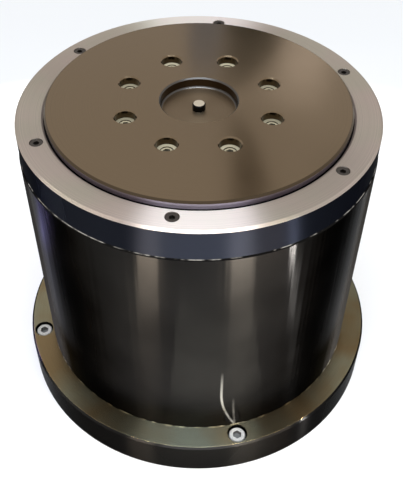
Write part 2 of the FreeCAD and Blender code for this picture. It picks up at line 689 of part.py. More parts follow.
def board_pillars():
    pillar = rod(PILLAR_DIAMETER * HALF, Z_SPIGOT_TOP, Z_BOARD_BOTTOM, R_PILLARS)
    stud = rod(SMALL_SCREW * HALF, Z_SPIGOT_TOP - BRACKET_SCREW_DEPTH, Z_SPIGOT_TOP, R_PILLARS)
    return group(around(pillar.fuse(stud), PILLAR_COUNT, PILLAR_ANGLE))


def rotor_yoke():
    return tube(R_HUB, R_YOKE, Z_YOKE_BOTTOM, Z_YOKE_TOP)


def rotor_magnets():
    magnet = tube(R_YOKE, R_MAGNETS, Z_STACK_BOTTOM, Z_STACK_TOP, MAGNET_SHARE * FULL_TURN / POLE_COUNT)
    return group(around(magnet, POLE_COUNT))


def rotor_hub():
    eye = HUB_EYE_DIAMETER * HALF
    hub = turned([
        (R_HUB_BORE, Z_HUB_BOTTOM), (R_HUB, Z_HUB_BOTTOM), (R_HUB, Z_YOKE_TOP), (R_HUB_STOP, Z_YOKE_TOP),
        (R_HUB_STOP, Z_SHOULDER_BOTTOM), (R_HUB_COLLAR, Z_SHOULDER_BOTTOM), (R_HUB_COLLAR, Z_BEARING_BOTTOM),
        (R_BEARING_BORE, Z_BEARING_BOTTOM), (R_BEARING_BORE, Z_HUB_TOP), (eye, Z_HUB_TOP), (eye, Z_HUB_WEB),
        (R_HUB_BORE, Z_HUB_WEB)])
    bolt = rod(clearance_radius(HUB_SCREW), Z_HUB_WEB, Z_HUB_TOP, R_HUB_SCREWS)
    cuts = around(bolt, HUB_SCREW_COUNT, HUB_SCREW_ANGLE)
    reach = SCALE_SCREW_DEPTH + DRILL_ALLOWANCE
    thread = rod(thread_radius(SMALL_SCREW), Z_HUB_BOTTOM, Z_HUB_BOTTOM + reach, R_SCALE_SCREWS)
    cuts += around(thread, SCALE_SCREW_COUNT)
    return hub.cut(group(cuts))


def hub_screws():
    length = Z_RING_BOTTOM - Z_HUB_WEB + HUB_SCREW_DEPTH
    screw = screw_up(HUB_SCREW, length, R_HUB_SCREWS, Z_HUB_WEB)
    return group(around(screw, HUB_SCREW_COUNT, HUB_SCREW_ANGLE))


# Turntable

def turntable():
    top = OVERALL_HEIGHT
    spigot = HUB_EYE_DIAMETER * HALF - EYE_FIT
    spigot_low = Z_RING_BOTTOM - EYE_SPIGOT_LENGTH
    pilot = PILOT_DIAMETER * HALF
    table = turned([
        (0, spigot_low), (spigot, spigot_low), (spigot, Z_RING_BOTTOM), (R_BOSS, Z_RING_BOTTOM),
        (R_BOSS, Z_RIM_BOTTOM), (R_TABLE, Z_RIM_BOTTOM), (R_TABLE, top - TABLE_BREAK),
        (R_TABLE - TABLE_BREAK, top), (0, top)])
    pocket = rounded_foot(rod(pilot, Z_PILOT_FLOOR, top), PILOT_CORNER)
    pin_hole = rod(CENTRE_PIN_SHANK * HALF, Z_PILOT_FLOOR - CENTRE_PIN_SEAT, Z_PILOT_FLOOR)
    cuts = [pocket.fuse([broken_rim(pilot, PILOT_BREAK, top), pin_hole])]
    out = TABLE_HOLE_CIRCLE * HALF
    mouth = rod(TABLE_HOLE_MOUTH * HALF, Z_TABLE_HOLE_FLOOR, top, out)
    rim = broken_rim(TABLE_HOLE_MOUTH * HALF, HOLE_BREAK, top, out)
    thread_end = Z_TABLE_HOLE_FLOOR - TABLE_HOLE_THREAD_DEPTH
    thread = rod(TABLE_HOLE_THREAD * HALF, thread_end, Z_TABLE_HOLE_FLOOR, out)
    cuts += around(mouth.fuse([rim, thread]), TABLE_HOLE_COUNT, TABLE_HOLE_ANGLE)
    hub_thread_end = Z_RING_BOTTOM + HUB_SCREW_DEPTH + DRILL_ALLOWANCE
    hub_thread = rod(thread_radius(HUB_SCREW), Z_RING_BOTTOM, hub_thread_end, R_HUB_SCREWS)
    cuts += around(hub_thread, HUB_SCREW_COUNT, HUB_SCREW_ANGLE)
    return table.cut(group(cuts))


def centre_pin():
    radius = CENTRE_PIN_DIAMETER * HALF
    shank = CENTRE_PIN_SHANK * HALF
    low = Z_PILOT_FLOOR - CENTRE_PIN_SEAT
    high = Z_PILOT_FLOOR + CENTRE_PIN_STAND
    return turned([
        (0, low), (shank, low), (shank, Z_PILOT_FLOOR), (radius, Z_PILOT_FLOOR),
        (radius, high - CENTRE_PIN_BREAK), (radius - CENTRE_PIN_BREAK, high), (0, high)])


# Encoder

def encoder_scale_ring():
    ring = tube(R_HUB_BORE, R_SCALE, Z_SCALE_BOTTOM, Z_HUB_BOTTOM)
    through = rod(clearance_radius(SMALL_SCREW), Z_SCALE_BOTTOM, Z_HUB_BOTTOM, R_SCALE_SCREWS)
    recess = rod(counterbore_radius(SMALL_SCREW), Z_SCALE_BOTTOM, Z_SCALE_SEAT, R_SCALE_SCREWS)
    return ring.cut(group(around(through.fuse(recess), SCALE_SCREW_COUNT)))


def scale_screws():
    length = Z_HUB_BOTTOM - Z_SCALE_SEAT + SCALE_SCREW_DEPTH
    screw = screw_up(SMALL_SCREW, length, R_SCALE_SCREWS, Z_SCALE_SEAT)
    return group(around(screw, SCALE_SCREW_COUNT))


def encoder_bracket():
    plate = block(R_HEAD_FACE, R_PILLARS + BRACKET_EDGE, BRACKET_WIDTH, Z_SPIGOT_TOP, Z_BRACKET_TOP)
    cuts = []
    for side in (-HALF, HALF):
        hole = rod(clearance_radius(SMALL_SCREW), Z_SPIGOT_TOP, Z_BRACKET_TOP, R_PILLARS)
        hole.translate(AXIS_Y * side * BRACKET_SCREW_SPACING)
        cuts.append(hole)
        hole = rod(clearance_radius(SMALL_SCREW), Z_SPIGOT_TOP, Z_BRACKET_TOP, R_HEAD_MIDDLE)
        hole.translate(AXIS_Y * side * HEAD_SCREW_SPACING)
        cuts.append(hole)
    return at_encoder(plate.cut(group(cuts)))


def encoder_read_head():
    top = Z_BRACKET_TOP + HEAD_HEIGHT
    head = block(R_HEAD_FACE, R_HEAD_FACE + HEAD_LENGTH, HEAD_WIDTH, Z_BRACKET_TOP, top)
    window_low = Z_BRACKET_TOP + (HEAD_HEIGHT - HEAD_WINDOW) * HALF
    window_back = R_HEAD_FACE + HEAD_WINDOW_DEPTH
    cuts = [block(R_HEAD_FACE, window_back, HEAD_WINDOW, window_low, window_low + HEAD_WINDOW)]
    for side in (-HALF, HALF):
        hole = rod(thread_radius(SMALL_SCREW), Z_BRACKET_TOP, top - DRILL_ALLOWANCE, R_HEAD_MIDDLE)
        hole.translate(AXIS_Y * side * HEAD_SCREW_SPACING)
        cuts.append(hole)
    return at_encoder(head.cut(group(cuts)))


def encoder_screws():
    screws = []
    for side in (-HALF, HALF):
        screw = screw_down(SMALL_SCREW, BRACKET_THICKNESS + BRACKET_SCREW_DEPTH, R_PILLARS, Z_BRACKET_TOP)
        screw.translate(AXIS_Y * side * BRACKET_SCREW_SPACING)
        screws.append(at_encoder(screw))
        length = BRACKET_THICKNESS + HEAD_HEIGHT * HALF
        screw = screw_up(SMALL_SCREW, length, R_HEAD_MIDDLE, Z_SPIGOT_TOP)
        screw.translate(AXIS_Y * side * HEAD_SCREW_SPACING)
        screws.append(at_encoder(screw))
    return group(screws)


# Connectors

def connector_screw_pattern(shape):
    """A shape made along Z, copied to the four corners of a connector's flange."""
    corner = CONNECTOR_SCREW_SPACING * HALF
    copies = []
    for x_side in (-corner, corner):
        for y_side in (-corner, corner):
            copy = shape.copy()
            copy.translate(FreeCAD.Vector(x_side, y_side, 0))
            copies.append(copy)
    return group(copies)


def connector_plate(low, high):
    """Square flange with round corners and its four screw holes, drawn along Z."""
    plate = Part.Face(plate_outline(CONNECTOR_FLANGE, CONNECTOR_FLANGE, CONNECTOR_FLANGE_CORNER))
    plate = plate.extrude(AXIS_Z * (high - low))
    plate.translate(AXIS_Z * low)
    return plate.cut(connector_screw_pattern(rod(clearance_radius(SMALL_SCREW), low, high)))


def connector_bore():
    return CONNECTOR_DIAMETER * HALF - CONNECTOR_WALL


def connector_shell(side):
    outer = CONNECTOR_DIAMETER * HALF
    plate_top = CONNECTOR_GASKET + CONNECTOR_FLANGE_THICKNESS
    shell = connector_plate(CONNECTOR_GASKET, plate_top).fuse(rod(outer, plate_top, CONNECTOR_LENGTH))
    cuts = [rod(connector_bore(), CONNECTOR_GASKET, CONNECTOR_LENGTH)]
    pitch = (CONNECTOR_LENGTH - plate_top) / (CONNECTOR_GROOVE_COUNT + 1)
    for step in range(1, CONNECTOR_GROOVE_COUNT + 1):
        low = plate_top + step * pitch - CONNECTOR_GROOVE_WIDTH * HALF
        cuts.append(tube(outer - CONNECTOR_GROOVE_DEPTH, outer + CONNECTOR_WALL, low,
                         low + CONNECTOR_GROOVE_WIDTH))
    return at_connectors(shell.cut(group(cuts)), (side,))[0]


def connector_insert(side, pin_count, pin_diameter):
    face = CONNECTOR_LENGTH - CONNECTOR_FACE_DROP
    insert = rod(connector_bore(), CONNECTOR_GASKET, face)
    holes = around(rod(pin_diameter * HALF, CONNECTOR_GASKET, face, PIN_CIRCLE * HALF), pin_count)
    return at_connectors(insert.cut(group(holes)), (side,))[0]


def connector_pins(side, pin_count, pin_diameter):
    tip = CONNECTOR_LENGTH - CONNECTOR_FACE_DROP + PIN_STAND
    pin = rod(pin_diameter * HALF, CONNECTOR_GASKET, tip, PIN_CIRCLE * HALF)
    return at_connectors(group(around(pin, pin_count)), (side,))[0]


def power_connector():
    return connector_shell(-1)


def power_insert():
    return connector_insert(-1, POWER_PIN_COUNT, POWER_PIN_DIAMETER)


def power_pins():
    return connector_pins(-1, POWER_PIN_COUNT, POWER_PIN_DIAMETER)


def feedback_connector():
    return connector_shell(1)


def feedback_insert():
    return connector_insert(1, FEEDBACK_PIN_COUNT, FEEDBACK_PIN_DIAMETER)


def feedback_pins():
    return connector_pins(1, FEEDBACK_PIN_COUNT, FEEDBACK_PIN_DIAMETER)


def connector_gaskets():
    gasket = connector_plate(0, CONNECTOR_GASKET)
    return group(at_connectors(gasket.cut(rod(WIRE_HOLE_DIAMETER * HALF, 0, CONNECTOR_GASKET))))


def connector_screws():
    seat = CONNECTOR_GASKET + CONNECTOR_FLANGE_THICKNESS
    screw = screw_down(SMALL_SCREW, seat + CONNECTOR_SCREW_DEPTH, 0, seat)
    return group(at_connectors(connector_screw_pattern(screw)))


PIECES = (
    base_flange, base_seal, tube_screws, housing_tube, top_ring, ring_seal, ring_screws, wiper_seal,
    bottom_cover, cover_gasket, cover_screws, bearing_outer_race_lower, bearing_outer_race_upper,
    bearing_inner_race, bearing_rollers, roller_cage, stator_core, stator_coils, winding_board,
    board_pillars, rotor_yoke, rotor_magnets, rotor_hub, hub_screws, turntable, centre_pin,
    encoder_scale_ring, scale_screws, encoder_bracket, encoder_read_head, encoder_screws,
    power_connector, power_insert, power_pins, feedback_connector, feedback_insert, feedback_pins,
    connector_gaskets, connector_screws)


def write_pieces():
    os.makedirs("parts", exist_ok=True)
    for piece in PIECES:
        piece().exportStep(os.path.join("parts", piece.__name__ + ".step"))


write_pieces()
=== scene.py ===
import json
import math

import bmesh
import bpy
from bpy.props import FloatProperty, FloatVectorProperty, IntProperty, PointerProperty
from mathutils import Euler, Matrix, Vector


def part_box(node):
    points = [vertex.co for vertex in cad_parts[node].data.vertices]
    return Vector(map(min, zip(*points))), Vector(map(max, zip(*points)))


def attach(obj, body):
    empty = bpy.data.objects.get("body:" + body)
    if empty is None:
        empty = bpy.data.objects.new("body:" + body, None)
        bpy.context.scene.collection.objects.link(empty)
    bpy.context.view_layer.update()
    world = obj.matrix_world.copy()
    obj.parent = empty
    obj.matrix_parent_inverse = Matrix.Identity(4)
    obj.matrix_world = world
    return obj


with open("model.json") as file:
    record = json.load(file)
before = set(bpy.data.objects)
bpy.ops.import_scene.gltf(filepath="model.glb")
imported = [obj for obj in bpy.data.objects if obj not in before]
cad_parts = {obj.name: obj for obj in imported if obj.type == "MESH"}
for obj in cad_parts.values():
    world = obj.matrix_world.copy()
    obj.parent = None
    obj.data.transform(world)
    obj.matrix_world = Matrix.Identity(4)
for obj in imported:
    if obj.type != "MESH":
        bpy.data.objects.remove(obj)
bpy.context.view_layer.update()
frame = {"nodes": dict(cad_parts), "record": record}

bl_info = {
    "name": "Direct drive rotary table",
    "version": (1, 0, 0),
    "blender": (4, 5, 0),
    "location": "View3D > Sidebar > Rotary table",
    "description": "Finishes the parts of a direct drive rotary table and sets up its studio",
    "category": "Object",
}

MM = 0.001
HOUSING = "housing"
TABLE = "table"


def linear(code):
    """Scene-linear RGB of an sRGB hex colour."""
    channels = [int(code[start:start + 2], 16) / 255 for start in (1, 3, 5)]
    return tuple(c / 12.92 if c <= 0.04045 else ((c + 0.055) / 1.055) ** 2.4 for c in channels)


def colour(code, name, description):
    """A colour property whose default is an sRGB hex value."""
    return FloatVectorProperty(name=name, description=description, subtype="COLOR", size=3, min=0, max=1,
                               default=linear(code))


def length(value, name, description):
    """A length property in metres whose default is given in millimetres."""
    return FloatProperty(name=name, description=description, default=value * MM, unit="LENGTH", precision=5)


def angle(degrees, name, description):
    """An angle property whose default is given in degrees."""
    return FloatProperty(name=name, description=description, default=math.radians(degrees), subtype="ANGLE")


# Settings that a user would change

class RotaryFinishes(bpy.types.PropertyGroup):
    table_metal: colour("#8d7961", "Table metal", "Turned steel of the table's face")
    # Painted reflection: the table's side takes this lavender grey in place of what it mirrors
    rim_painted_reflection: colour("#8b8592", "Table rim", "Turned side of the table")
    table_break: colour("#67625d", "Table breaks", "Burnished breaks of the table's recess")
    # Painted highlight: the centre pin's end is near white
    pin_end_highlight: colour("#f8e8cf", "Pin cap", "Ground end of the centre pin")
    ring_metal: colour("#dfcdc1", "Ring metal", "Turned alloy of the top ring's face")
    ring_stain: colour("#d9cebd", "Ring stain", "Duller clouds on the top ring's face")
    flange_metal: colour("#937d5a", "Flange metal", "Turned alloy of the base flange's face")
    flange_stain: colour("#9c9a82", "Flange stain", "Greyer clouds on the base flange's face")
    black_coat: colour("#222120", "Black coat", "Anodised black of the tube and the flange's side")
    band_coat: colour("#202229", "Band coat", "Anodised blue black of the top ring's side")
    # Also the bare metal of the tube's edge dashes and of its painted reflection streaks
    bright_steel: colour("#e2ddd4", "Bright steel", "Plated screws, connector shells and worn edges")
    plug_steel: colour("#ded2b6", "Plug steel", "Set screws and the hole floors round them")
    ring_screw: colour("#5c554f", "Ring screws", "Worn black oxide of the ring's screws")
    # Real black oxide on the screws inside; on the centre pin's side it is painted shade
    dark_steel_and_pin_shade: colour("#1b1a19", "Dark steel", "Black oxide screws and the side of the centre pin")


class RotarySizes(bpy.types.PropertyGroup):
    # Real feed marks are about a tenth of a millimetre apart, and are drawn coarser so that they show
    turning_pitch: length(0.5, "Turning pitch", "Spacing of the rings that the lathe left")
    recess: length(35.0, "Pilot recess", "Diameter of the recess in the table's face")
    screw_head: length(8.5, "Base screw head", "Head diameter of the base screws")
    screw_thread: length(5.0, "Base screw thread", "Thread diameter and head height of the base screws")
    screw_socket: length(4.0, "Base screw socket", "Width across flats of the base screws' sockets")
    screw_seat: length(14.0, "Base screw seat", "Height of the counterbore floor that the heads sit on")
    screw_gap: length(0.4, "Base screw gap", "How far above the base face the base screws end")
    screw_break: length(0.5, "Base screw break", "Broken edges of the base screws' heads")
    knurl_depth: length(0.15, "Knurl depth", "Depth of the knurl round a base screw's head")
    knurl_count: IntProperty(name="Knurl count", description="Ribs round a base screw's head", default=36)
    first_screw: angle(45, "First base screw", "Where round the flange the first base screw stands")
    plug_socket: length(3.0, "Thread plug socket", "Width across flats of the set screws' sockets")
    plug_depth: length(3.0, "Thread plug depth", "Depth of the set screws' sockets")
    plug_length: length(6.0, "Thread plug length", "Length of the set screws")
    plug_play: length(0.1, "Thread plug play", "Gap round the set screws in their threads")
    plug_break: length(0.4, "Thread plug break", "Broken edges of the set screws")
    plug_sink: length(-0.15, "Thread plug face", "Height of the set screws' faces over the counterbore floor")
    first_hole: angle(9, "First table hole", "Where round the table the first hole lies")
    # Painted reflection: where round the tube the streaks of light from a base screw are painted
    painted_streaks: angle(-45, "Scuffs", "Where round the tube the scuffs lie")


class RotaryStage(bpy.types.PropertyGroup):
    camera_reach: length(285.9, "Camera reach", "Level distance from the table's axis to the camera")
    camera_height: length(354.5, "Camera height", "Height of the camera above the base face")
    camera_azimuth: angle(31.7, "Camera azimuth", "Turn of the camera round the object")
    camera_pitch: angle(45.15, "Camera pitch", "How far the camera looks down")
    camera_roll: angle(0.42, "Camera roll", "Tilt of the camera about its line of sight")
    camera_lens: FloatProperty(name="Lens", description="Focal length in millimetres", default=55.4)
    camera_shift: FloatProperty(name="Shift", description="Sideways shift of the frame", default=0.0072)
    floor_colour: colour("#f2f2f2", "Floor", "Pale studio floor")
    surround: FloatProperty(name="Surround", description="Strength of the even light all round", default=0.62)


# Shared ways of making a material

# Nearly all of a noise lies between these
NOISE_LOW, NOISE_HIGH = 0.3, 0.7

# How strongly and how deeply the lathe's rings bend the light
RING_BUMP = 0.15
RING_DEPTH = 0.01 * MM

# The turn of an anisotropic shader that draws reflections out across turning marks
ACROSS_MARKS = 0.25


def add(tree, kind, props=None, values=None, links=None, out=None):
    """Adds a shader node, sets its properties and input values, and links its inputs. Hands back the output
    that is named, or else the first one that the node's settings leave in use."""
    made = tree.nodes.new(kind)
    for name, value in (props or {}).items():
        setattr(made, name, value)
    for name, value in (values or {}).items():
        made.inputs[name].default_value = value
    for name, socket in (links or {}).items():
        tree.links.new(socket, made.inputs[name])
    return made.outputs[out] if out else next((socket for socket in made.outputs if socket.enabled), None)


def new_material(name):
    """An empty node material and the tree that it is drawn in."""
    material = bpy.data.materials.new(name)
    material.use_nodes = True
    material.node_tree.nodes.clear()
    return material, material.node_tree


def surface(tree, values, links=None):
    """Ends a material in one principled shader."""
    shader = add(tree, "ShaderNodeBsdfPrincipled", values=values, links=links)
    add(tree, "ShaderNodeOutputMaterial", links={"Surface": shader})


def rgba(rgb, share=1.0):
    """A colour as a shader socket wants it, darkened to a share of itself."""
    return (*(share * part for part in rgb), 1.0)


def place(tree):
    """The point in the part's own frame, the same point brought down to its base, and its height."""
    point = add(tree, "ShaderNodeTexCoord", out="Object")
    flat = add(tree, "ShaderNodeVectorMath", {"operation": "MULTIPLY"}, {1: (1, 1, 0)}, {0: point})
    height = add(tree, "ShaderNodeSeparateXYZ", links={"Vector": point}, out="Z")
    return point, flat, height


def mottle(tree, point, size, detail, low, high):
    """A value that wanders between two limits in patches of one size, for an uneven tone or gloss."""
    noise = add(tree, "ShaderNodeTexNoise", None, {"Scale": 1 / size, "Detail": detail}, {"Vector": point})
    return add(tree, "ShaderNodeMapRange", None,
               {"From Min": NOISE_LOW, "From Max": NOISE_HIGH, "To Min": low, "To Max": high},
               {"Value": noise})


def lathe_marks(tree, radius, pitch, contrast):
    """What a lathe leaves: a tone that changes from ring to ring, and the shader's normal and tangent, which
    follow the rings and draw reflections out across them."""
    rings = add(tree, "ShaderNodeTexNoise", {"noise_dimensions": "1D"},
                {"Scale": 1 / pitch, "Detail": 3.0, "Roughness": 0.7}, {"W": radius})
    low, high = 1 - contrast, 1 + contrast
    tone = add(tree, "ShaderNodeMapRange", None,
               {"From Min": NOISE_LOW, "From Max": NOISE_HIGH, "To Min": low, "To Max": high},
               {"Value": rings})
    bump = add(tree, "ShaderNodeBump", None, {"Strength": RING_BUMP, "Distance": RING_DEPTH},
               {"Height": rings})
    tangent = add(tree, "ShaderNodeTangent", {"direction_type": "RADIAL", "axis": "Z"})
    return tone, {"Normal": bump, "Tangent": tangent}


def mount(name):
    """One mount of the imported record."""
    return next(row for row in frame["record"]["mounts"] if row["name"] == name)


def circle_radius(pattern):
    """Radius of a mount's bolt circle."""
    return pattern["dims"]["pcd_mm"] * MM / 2


def dress(node, material):
    """Gives a CAD node its finish."""
    mesh = frame["nodes"][node].data
    mesh.materials.clear()
    mesh.materials.append(material)


# The table's finish

TABLE_CONTRAST = 0.07
SMUDGE = 22 * MM
TURNED_ROUGH = (0.14, 0.17)
BORED_ROUGH = 0.37
FRESH_ROUGH = 0.95
BURNISHED_ROUGH = 0.34
# Painted shade: the walls of the recess and the holes are darkened to the first share of the metal, and the
# table's broken edge to the second
WALL_PAINTED_SHADE = 0.25
EDGE_PAINTED_SHADE = 0.45

# Where the table's cuts lie: just past the recess, either side of the hole circle, under the face, out to the
# end of the recess's break and in to the start of the rim's
RECESS_PLAY = 0.05 * MM
HOLE_REACH = 6 * MM
FACE_SKIN = 0.7 * MM
RECESS_BREAK = 0.75 * MM
RIM_BREAK = 0.95 * MM

# The upright share of a face's normal: below the first a face is a wall, and a break lies about the second
WALL_NORMAL = 0.2
BREAK_NORMAL, BREAK_SPREAD = 0.58, 0.38


def turned_table_steel(looks, sizes, top, hole_circle, rim):
    """Lathe-turned steel: fine rings that draw reflections out along the radius, a duller bored recess with
    burnished breaks, freshly cut hole floors, recess and hole walls painted dark as shade, a broken edge
    painted dark as shade and a side painted lavender grey as a reflection."""
    metal = tuple(looks.table_metal)
    recess = sizes.recess / 2
    material, tree = new_material("turned_table_steel")
    point, flat, height = place(tree)
    radius = add(tree, "ShaderNodeVectorMath", {"operation": "LENGTH"}, links={0: flat})
    tone, marks = lathe_marks(tree, radius, sizes.turning_pitch, TABLE_CONTRAST)
    normal = add(tree, "ShaderNodeNewGeometry", out="Normal")
    upward = add(tree, "ShaderNodeSeparateXYZ", links={"Vector": normal}, out="Z")

    in_recess = add(tree, "ShaderNodeMath", {"operation": "LESS_THAN"}, {1: recess + RECESS_PLAY},
                    {0: radius})
    in_holes = add(tree, "ShaderNodeMath", {"operation": "COMPARE"}, {1: hole_circle, 2: HOLE_REACH},
                   {0: radius})
    either = add(tree, "ShaderNodeMath", {"operation": "MAXIMUM"}, links={0: in_recess, 1: in_holes})
    below = add(tree, "ShaderNodeMath", {"operation": "LESS_THAN"}, {1: top - FACE_SKIN}, {0: height})
    cut = add(tree, "ShaderNodeMath", {"operation": "MULTIPLY"}, links={0: either, 1: below})
    upright = add(tree, "ShaderNodeMath", {"operation": "LESS_THAN"}, {1: WALL_NORMAL}, {0: upward})
    wall = add(tree, "ShaderNodeMath", {"operation": "MULTIPLY"}, links={0: cut, 1: upright})
    level = add(tree, "ShaderNodeMath", {"operation": "SUBTRACT"}, links={0: cut, 1: wall})
    fresh = add(tree, "ShaderNodeMath", {"operation": "MULTIPLY"}, links={0: level, 1: in_holes})
    near = add(tree, "ShaderNodeMath", {"operation": "LESS_THAN"}, {1: recess + RECESS_BREAK}, {0: radius})
    slope = add(tree, "ShaderNodeMath", {"operation": "COMPARE"}, {1: BREAK_NORMAL, 2: BREAK_SPREAD},
                {0: upward})
    broken = add(tree, "ShaderNodeMath", {"operation": "MULTIPLY"}, links={0: near, 1: slope})
    outer = add(tree, "ShaderNodeMath", {"operation": "GREATER_THAN"}, {1: rim}, {0: radius})
    side = add(tree, "ShaderNodeMath", {"operation": "MULTIPLY"}, links={0: outer, 1: upright})

    tint = add(tree, "ShaderNodeVectorMath", {"operation": "SCALE"}, {0: metal}, {"Scale": tone})
    # Painted light: the walls and the broken edge are darkened as shade, and the side takes a lavender grey
    # as a reflection
    for where, other in ((wall, rgba(metal, WALL_PAINTED_SHADE)), (fresh, rgba(looks.plug_steel)),
                         (broken, rgba(looks.table_break)), (outer, rgba(metal, EDGE_PAINTED_SHADE)),
                         (side, rgba(looks.rim_painted_reflection))):
        tint = add(tree, "ShaderNodeMix", {"data_type": "RGBA"}, {"B": other}, {"Factor": where, "A": tint})
    rough = mottle(tree, point, SMUDGE, 4.0, *TURNED_ROUGH)
    for where, other in ((level, BORED_ROUGH), (fresh, FRESH_ROUGH), (broken, BURNISHED_ROUGH)):
        rough = add(tree, "ShaderNodeMix", {"data_type": "FLOAT"}, {"B": other},
                    {"Factor": where, "A": rough})
    surface(tree, {"Metallic": 1.0, "Anisotropic": 0.6, "Anisotropic Rotation": ACROSS_MARKS},
            {"Base Color": tint, "Roughness": rough, **marks})
    return material


# The centre pin's finish

# Grinding marks are finer in truth, and are drawn coarser so that they show
PIN_GRAIN = 0.6 * MM
PIN_ROUGH = (0.3, 0.42)
END_SKIN = 0.02 * MM


def ground_pin_steel(looks, top):
    """Ground steel whose end is painted near white as a highlight and whose side is painted dark as shade,
    with a fine uneven gloss.
    """
    material, tree = new_material("ground_pin_steel")
    point = add(tree, "ShaderNodeTexCoord", out="Object")
    height = add(tree, "ShaderNodeSeparateXYZ", links={"Vector": point}, out="Z")
    end = add(tree, "ShaderNodeMath", {"operation": "GREATER_THAN"}, {1: top - END_SKIN}, {0: height})
    # Painted light: the end takes a near-white highlight and the side a dark shade
    tint = add(tree, "ShaderNodeMix", {"data_type": "RGBA"},
               {"A": rgba(looks.dark_steel_and_pin_shade), "B": rgba(looks.pin_end_highlight)}, {"Factor": end})
    rough = mottle(tree, point, PIN_GRAIN, 2.0, *PIN_ROUGH)
    surface(tree, {"Metallic": 1.0}, {"Base Color": tint, "Roughness": rough})
    return material


# The finish of the top ring and the base flange

RING_CONTRAST = 0.08
CLOUD = 40 * MM
CLOUD_SLICE = 0.0
CLOUD_LOW, CLOUD_HIGH = 0.4, 0.6

# How bright reflections get at grazing angles
COAT_DARKENING = (0.34, 0.34, 0.34, 1.0)


def two_tone_turned(name, metal, stain, coat, bare_above, bare_rough, coat_rough, pitch):
    """Black anodised alloy whose top face was turned bare afterwards: cloudy stained metal above a height and
    the coat below it, both duller towards grazing angles."""
    material, tree = new_material(name)
    point, flat, height = place(tree)
    radius = add(tree, "ShaderNodeVectorMath", {"operation": "LENGTH"}, links={0: flat})
    tone, marks = lathe_marks(tree, radius, pitch, RING_CONTRAST)
    bare = add(tree, "ShaderNodeMath", {"operation": "GREATER_THAN"}, {1: bare_above}, {0: height})
    clouds = add(tree, "ShaderNodeTexNoise", {"noise_dimensions": "4D"},
                 {"Scale": 1 / CLOUD, "Detail": 3.0, "W": CLOUD_SLICE}, {"Vector": point})
    stained = add(tree, "ShaderNodeMapRange", values={"From Min": CLOUD_LOW, "From Max": CLOUD_HIGH},
                  links={"Value": clouds})
    alloy = add(tree, "ShaderNodeMix", {"data_type": "RGBA"}, {"A": rgba(metal), "B": rgba(stain)},
                {"Factor": stained})
    turned = add(tree, "ShaderNodeVectorMath", {"operation": "SCALE"}, links={0: alloy, "Scale": tone})
    tint = add(tree, "ShaderNodeMix", {"data_type": "RGBA"}, {"A": rgba(coat)}, {"Factor": bare, "B": turned})
    rough = add(tree, "ShaderNodeMapRange", values={"To Min": coat_rough, "To Max": bare_rough},
                links={"Value": bare})
    surface(tree, {"Metallic": 1.0, "Anisotropic": 1.0, "Anisotropic Rotation": ACROSS_MARKS,
                   "Specular Tint": COAT_DARKENING}, {"Base Color": tint, "Roughness": rough, **marks})
    return material


# The tube's finish

TUBE_SMUDGE = 30 * MM
TUBE_ROUGH = (0.16, 0.185)

# How bright reflections get at grazing angles
TUBE_DARKENING = (0.38, 0.38, 0.38, 1.0)

# Draw lines are a few hundredths of a millimetre wide in truth, and are drawn coarser so that they show
DRAW_LINE = 2.5 * MM
DRAW_DEPTH = 0.07 * MM

# How far a face is turned from the eye where the gloss starts to go and where it is gone
GLOSS_FULL, GLOSS_GONE = 0.78, 0.87

# Painted sheen: how far above the foot it thins and ends, how much it lightens the coat and how unevenly
SHEEN_LOW, SHEEN_HIGH = 30 * MM, 90 * MM
PAINTED_SHEEN_GAIN = 1.4
SHEEN_STREAK = 0.15

# Edge dashes: the width of the band that they lie in, and the size and density of the dashes along it
EDGE_DASH_BAND = 0.45 * MM
DASH_SIZE = 5 * MM
DASH_LOW, DASH_HIGH = 0.47, 0.63
DASH_STRENGTH = 0.8

# Painted reflection streaks, drawn as bare metal: sideways swing, height and strength of each, the run that
# it bends over, and how far its core and its edge lie from its middle
STREAK_SHAPES = ((7.5 * MM, 46 * MM, 0.5), (1.5 * MM, 24 * MM, 0.2))
STREAK_RUN = 32 * MM
STREAK_CORE, STREAK_EDGE = 0.25 * MM, 0.8 * MM


def edge_dashes(tree, point, height, low, high):
    """How bare the tube's edges are: dashes of metal at its top and its foot."""
    dash_noise = add(tree, "ShaderNodeTexNoise", None, {"Scale": 1 / DASH_SIZE, "Detail": 2.0}, {"Vector": point})
    dash_share = add(tree, "ShaderNodeMapRange", None,
                  {"From Min": DASH_LOW, "From Max": DASH_HIGH, "To Min": 0.0, "To Max": DASH_STRENGTH},
                  {"Value": dash_noise})
    upper = add(tree, "ShaderNodeMath", {"operation": "GREATER_THAN"}, {1: high - EDGE_DASH_BAND}, {0: height})
    lower = add(tree, "ShaderNodeMath", {"operation": "LESS_THAN"}, {1: low + EDGE_DASH_BAND}, {0: height})
    edges = add(tree, "ShaderNodeMath", {"operation": "MAXIMUM"}, links={0: upper, 1: lower})
    return add(tree, "ShaderNodeMath", {"operation": "MULTIPLY"}, links={0: edges, 1: dash_share})


def painted_reflection_streak(tree, arc, height, low, swing, reach, strength):
    """Painted reflection: how bare the tube is painted along one streak of light, a thin line that bends
    sideways and fades as it climbs.
    """
    bend = add(tree, "ShaderNodeMapRange", {"interpolation_type": "SMOOTHERSTEP"},
               {"From Min": low - STREAK_RUN, "From Max": low + STREAK_RUN, "To Min": swing, "To Max": -swing},
               {"Value": height})
    gap = add(tree, "ShaderNodeMath", {"operation": "SUBTRACT"}, links={0: arc, 1: bend})
    away = add(tree, "ShaderNodeMath", {"operation": "ABSOLUTE"}, links={0: gap})
    line = add(tree, "ShaderNodeMapRange", None,
               {"From Min": STREAK_CORE, "From Max": STREAK_EDGE, "To Min": strength, "To Max": 0.0},
               {"Value": away})
    fade = add(tree, "ShaderNodeMapRange", None,
               {"From Min": low + reach / 2, "From Max": low + reach, "To Min": 1.0, "To Max": 0.0},
               {"Value": height})
    return add(tree, "ShaderNodeMath", {"operation": "MULTIPLY"}, links={0: line, 1: fade})


